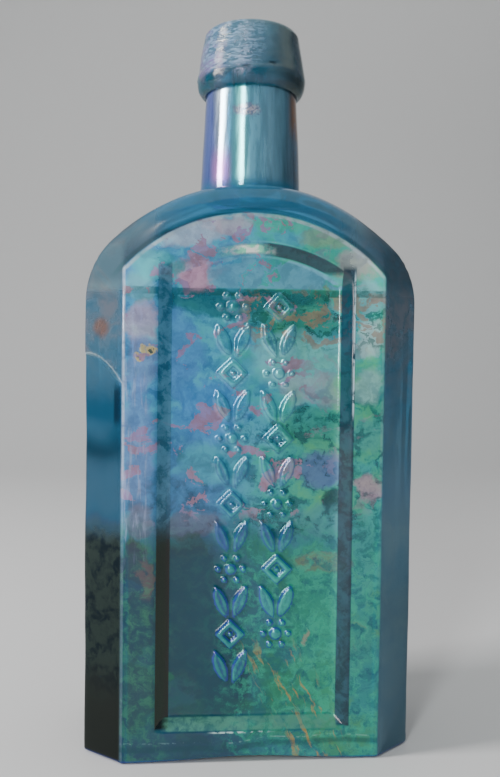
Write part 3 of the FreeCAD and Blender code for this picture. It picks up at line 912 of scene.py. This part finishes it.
def paint_plain(n):
    """Everything but the faces and the neck: plain glass, haze, a broken shell and mud."""
    x, y, z = n.x, n.y, n.z
    # Steel blue, browner above and near the edges, and deeper low on the left.
    haze = n.noise(n.place, 13, 4, 0.6, 0.8, shift=(4, 8, 1))
    left = n.range(x, -36, -39)
    right = n.range(x, 36, 39)
    plain = n.mix(n.range(haze, 0.35, 0.7), (0.120, 0.330, 0.500, 1), (0.180, 0.380, 0.520, 1))
    n.deepest = n.times(left, n.range(z, 124, 104))
    gulf = n.mix(n.range(z, 90, 102), (0.004, 0.050, 0.110, 1), (0.012, 0.115, 0.230, 1))
    plain = n.mix(n.times(n.deepest, 0.9), plain, gulf)
    plain = n.mix(n.range(z, 158, 168), plain, (0.060, 0.330, 0.560, 1))
    n.rusty = n.times(n.range(haze, 0.36, 0.58), n.range(n.mz, 104, 122))
    n.rusty = n.times(n.rusty, n.range(n.across, 26, 38))
    n.rusty = n.times(n.rusty, n.range(z, 172, 160))
    umber = n.mix(n.range(n.small, 0.35, 0.6), (0.080, 0.110, 0.150, 1), (0.190, 0.160, 0.180, 1))

    # A shell of the crust has broken off the left bevel, along a curved edge.
    shell = n.times(n.math("ADD", x, SHELL_LEFT), n.math("ADD", x, SHELL_LEFT))
    shell = n.math("MULTIPLY_ADD", shell, SHELL_FALL, n.math("SUBTRACT", z, SHELL_TOP))
    broken = n.times(n.range(shell, 0.2, -0.2), left)
    n.rusty = n.times(n.rusty, n.math("SUBTRACT", 1.0, broken))
    plain = n.mix(n.times(n.rusty, 0.75), plain, umber)
    # A painted highlight runs along the shell's broken edge.
    shell_line = n.times(n.band(shell, -0.2, 0.3, 0.15), n.range(x, -37.5, -38.5))
    shell_line = n.times(shell_line, n.range(y, 4, 0))
    plain = n.mix(n.times(shell_line, 0.8), plain, (0.420, 0.560, 0.680, 1))
    wedge = n.times(n.band(x, -41.2, -39.2, 0.3), n.band(z, 101, 112, 2))
    plain = n.mix(n.times(wedge, 0.8), plain, (0.006, 0.030, 0.070, 1))

    # The shoulder's flanks are dark, and mud clings low down, thickest on the left.
    n.flank = n.times(n.range(n.across, 24, 38), n.band(z, 141, 170, 4))
    plain = n.mix(n.times(n.flank, n.range(x, -20, 20, 0.68, 0.76)), plain, (0.006, 0.040, 0.075, 1))
    n.mud = n.times(n.range(n.mz, 76, 64), left)
    n.mud = n.most(n.mud, n.times(n.range(n.mz, 104, 40, 0.0, 0.68), right))
    mottle = n.mix(n.range(n.small, 0.36, 0.6), (0.003, 0.008, 0.010, 1), (0.022, 0.034, 0.026, 1))
    mottle = n.mix(n.range(n.mz, 34, 14), mottle, (0.018, 0.020, 0.013, 1))
    plain = n.mix(n.times(n.mud, 0.95), plain, mottle)
    spot = n.vector("LENGTH", n.vector("MULTIPLY_ADD", n.place, (1, 0, 0.8), (45.4, 0, -103.5)))
    plain = n.mix(n.range(spot, 3.2, 1.2, 0.0, 0.7), plain, (0.280, 0.130, 0.080, 1))
    return plain


def paint_neck(n, plain):
    """The neck's upright bands: its blue tint with painted highlights, darker towards the right, with a pale
    scar and a rust stain under the collar.
    """
    x, y, z = n.x, n.y, n.z
    # The pale and cyan stripes in these bands are painted highlights.
    bands = (
        (0.00, (0.060, 0.120, 0.420)),
        (0.12, (0.220, 0.260, 0.700)),
        (0.20, (0.760, 0.900, 1.000)),
        (0.29, (0.220, 0.660, 0.900)),
        (0.38, (0.260, 0.980, 0.900)),
        (0.48, (0.260, 0.720, 0.920)),
        (0.66, (0.320, 0.660, 0.850)),
        (0.84, (0.130, 0.280, 0.380)),
        (1.00, (0.240, 0.220, 0.260)),
    )
    banding = n.noise(n.place, 9, 2, 0.5, 0.0, stretch=(1.0, 1.0, 0.3), shift=(6, 0, 0))
    neck_tint = n.ramp(n.range(n.math("MULTIPLY_ADD", banding, 3.0, x), -15.0, 17.0, smooth=False), bands)
    n.threads = n.noise(n.place, 2.7, 4, 0.65, 0.0, stretch=(1.0, 1.0, 0.09), shift=(2, 2, 0))
    neck_tint = n.vector("MULTIPLY", neck_tint, n.range(n.threads, 0.36, 0.56, 0.76, 1.10))
    # A magenta painted fringe at the foot of the pale highlight.
    highlight_fringe = n.times(n.band(x, -12.5, -7.5, 1.2), n.range(z, 188, 180, 0.0, 0.9))
    neck_tint = n.mix(highlight_fringe, neck_tint, (0.900, 0.360, 0.980, 1))
    n.on_neck = n.range(z, 172, 178)
    plain = n.mix(n.times(n.on_neck, 0.9), plain, neck_tint)

    wrinkle = n.noise(n.place, 1.6, 4, 0.65, 1.0, shift=(9, 2, 2))
    scar = n.vector("LENGTH", n.vector("MULTIPLY_ADD", n.place, (0.36, 0.1, 0.8), (0.9, 1.5, -157.6)))
    scar = n.range(n.math("MULTIPLY_ADD", wrinkle, 4.2, scar), 3.9, 3.2, 0.0, 0.85)
    near_side = n.range(y, -8, -11)
    skin = n.mix(n.range(wrinkle, 0.42, 0.55), (0.300, 0.340, 0.520, 1), (0.900, 0.760, 0.840, 1))
    plain = n.mix(n.times(scar, near_side), plain, skin)
    stain = n.times(n.range(x, 10.5, 13.0), n.band(n.mz, 191, 204, 3))
    stain = n.times(stain, n.range(n.math("MULTIPLY_ADD", n.small, 14, y), 8, 4))
    stain = n.times(stain, n.range(n.small, 0.32, 0.48))
    plain = n.mix(n.times(stain, 0.85), plain, (0.420, 0.170, 0.050, 1))
    # A dark line runs along the arch, just outside the face.
    arc = n.times(n.band(n.shoulder, 51.8, 53.2, 0.4), n.times(n.range(z, 143, 147), near_side))
    plain = n.mix(n.times(arc, 0.7), plain, (0.006, 0.090, 0.130, 1))
    return plain


def aqua_glass():
    """Blue-green glass with a crust that buried glass grows: flaked, patchy and rainbow-coloured."""
    material = bpy.data.materials.new("aqua_glass")
    material.use_nodes = True
    n = Nodes(material)
    find_places(n)
    colour = grow_film(n)
    for paint in (paint_low, paint_panel, paint_edges, paint_foot):
        colour = paint(n, colour)
    plain = paint_neck(n, paint_plain(n))
    colour = n.mix(n.face, plain, colour)
    # Cobalt blue shows along the very edge of the foot.
    rim = n.range(n.z, 1.5, 0.4)
    colour = n.mix(n.times(rim, 0.7), colour, (0.020, 0.060, 0.360, 1))

    shader = n.shader
    n.put(shader.inputs["Base Color"], colour)
    crust = n.times(n.face, n.range(n.small, 0.3, 0.7, 0.45, 0.72))
    crust = n.most(crust, n.times(n.face, n.range(n.mz, 84, 58, 0.0, 0.86)))
    crust = n.most(crust, n.times(n.slope, 0.85))
    crust = n.most(crust, n.times(n.bloom, 0.95))
    solid = n.math("MULTIPLY_ADD", n.math("SUBTRACT", 1.0, n.face), 0.26, crust)
    solid = n.math("MULTIPLY_ADD", n.rusty, 0.25, solid)
    solid = n.math("MULTIPLY_ADD", n.mud, 0.74, solid)
    solid = n.math("MULTIPLY_ADD", n.most(n.flank, n.deepest), 0.25, solid)
    solid = n.math("MULTIPLY_ADD", n.on_neck, 0.25, solid)
    n.put(shader.inputs["Transmission Weight"], n.math("SUBTRACT", 1.0, solid))
    metal = n.times(n.math("SUBTRACT", n.face, n.slope), n.range(n.film, 0.2, 0.6, 0.05, 0.25))
    metal = n.most(metal, n.times(n.crown, 0.25))
    metal = n.most(metal, n.times(n.mud, 0.85))
    metal = n.most(metal, n.times(n.deepest, n.range(n.z, 88, 102, 0.65, 0.30)))
    metal = n.most(metal, n.times(n.on_neck, 0.45))
    n.put(shader.inputs["Metallic"], metal)
    rough = n.math("MULTIPLY_ADD", n.face, n.range(n.small, 0.35, 0.65, 0.02, 0.12), 0.06)
    rough = n.math("MULTIPLY_ADD", n.flank, 0.60, rough)
    rough = n.math("MULTIPLY_ADD", n.on_neck, n.range(n.threads, 0.4, 0.6, 0.04, 0.16), rough)
    n.put(shader.inputs["Roughness"], rough)
    shader.inputs["IOR"].default_value = 1.5
    n.put(shader.inputs["Thin Film Thickness"], n.math("MULTIPLY_ADD", n.mud, -420, 420))
    shader.inputs["Thin Film IOR"].default_value = 1.45
    deepen(material)
    return material


def deepen(material):
    """Thick glass is darker and bluer than thin glass."""
    body = material.node_tree.nodes.new("ShaderNodeVolumeAbsorption")
    body.inputs["Color"].default_value = (0.35, 0.74, 0.84, 1)
    body.inputs["Density"].default_value = 45
    output = material.node_tree.nodes["Material Output"]
    material.node_tree.links.new(body.outputs[0], output.inputs["Volume"])


def lip_glass():
    """The same glass in the collar, greyer, with painted highlights in fine ripples on its upper left front.
    """
    material = bpy.data.materials.new("lip_glass")
    material.use_nodes = True
    n = Nodes(material)
    x, z = n.x, n.z
    haze = n.noise(n.place, 9, 4, 0.6, 0.8, shift=(4, 8, 1))
    fine = n.noise(n.place, 1.7, 4, 0.6, 1.0, stretch=(0.55, 0.55, 1.8), shift=(3, 2, 1))
    colour = n.mix(n.range(haze, 0.35, 0.65), (0.070, 0.220, 0.310, 1), (0.150, 0.320, 0.400, 1))
    colour = n.mix(n.times(n.range(haze, 0.40, 0.55), n.range(x, -7, -13)), colour, (0.440, 0.320, 0.760, 1))
    colour = n.mix(n.range(x, 2, 15), colour, (0.045, 0.080, 0.105, 1))
    # Painted highlights follow the fine ripples on the collar's upper left front.
    bloom = n.times(n.range(x, 7, -5), n.range(z, 208, 212))
    colour = n.mix(n.times(bloom, n.range(fine, 0.44, 0.64, 0.10, 0.95)), colour, (0.500, 0.740, 1.000, 1))
    foot = n.times(n.band(z, 203, 209.3, 0.8), n.range(x, 10, -4))
    colour = n.mix(n.times(foot, 0.90), colour, (0.006, 0.120, 0.180, 1))
    for cx, cz in COLLAR_DENTS:
        dent = n.vector("LENGTH", n.vector("MULTIPLY_ADD", n.place, (0.4, 0.04, 1.0), (-0.4 * cx, 0.66, -cz)))
        dent = n.range(n.math("MULTIPLY_ADD", fine, 0.8, dent), 1.1, 0.7)
        colour = n.mix(n.times(dent, n.range(n.y, -10, -13, 0.0, 0.8)), colour, (0.010, 0.050, 0.080, 1))
    brown = n.times(n.range(haze, 0.46, 0.60), n.range(n.math("ABSOLUTE", x), 9, 16))
    colour = n.mix(n.times(brown, 0.5), colour, (0.220, 0.210, 0.260, 1))
    shader = n.shader
    n.put(shader.inputs["Base Color"], colour)
    shader.inputs["Transmission Weight"].default_value = 0.62
    n.put(shader.inputs["Roughness"], n.range(fine, 0.3, 0.7, 0.06, 0.16))
    shader.inputs["IOR"].default_value = 1.5
    shader.inputs["Thin Film Thickness"].default_value = 460
    shader.inputs["Thin Film IOR"].default_value = 1.45
    bump = n.tree.nodes.new("ShaderNodeBump")
    bump.inputs["Strength"].default_value = 0.6
    bump.inputs["Distance"].default_value = 0.0004
    n.put(bump.inputs["Height"], n.times(fine, n.range(x, 12, -4, 0.15, 1.0)))
    n.put(shader.inputs["Normal"], bump.outputs[0])
    deepen(material)
    return material


place_camera()
light_studio()
lay_floor()
body = blow_body()
lip = blow_lip()
body.data.materials.append(aqua_glass())
lip.data.materials.append(lip_glass())
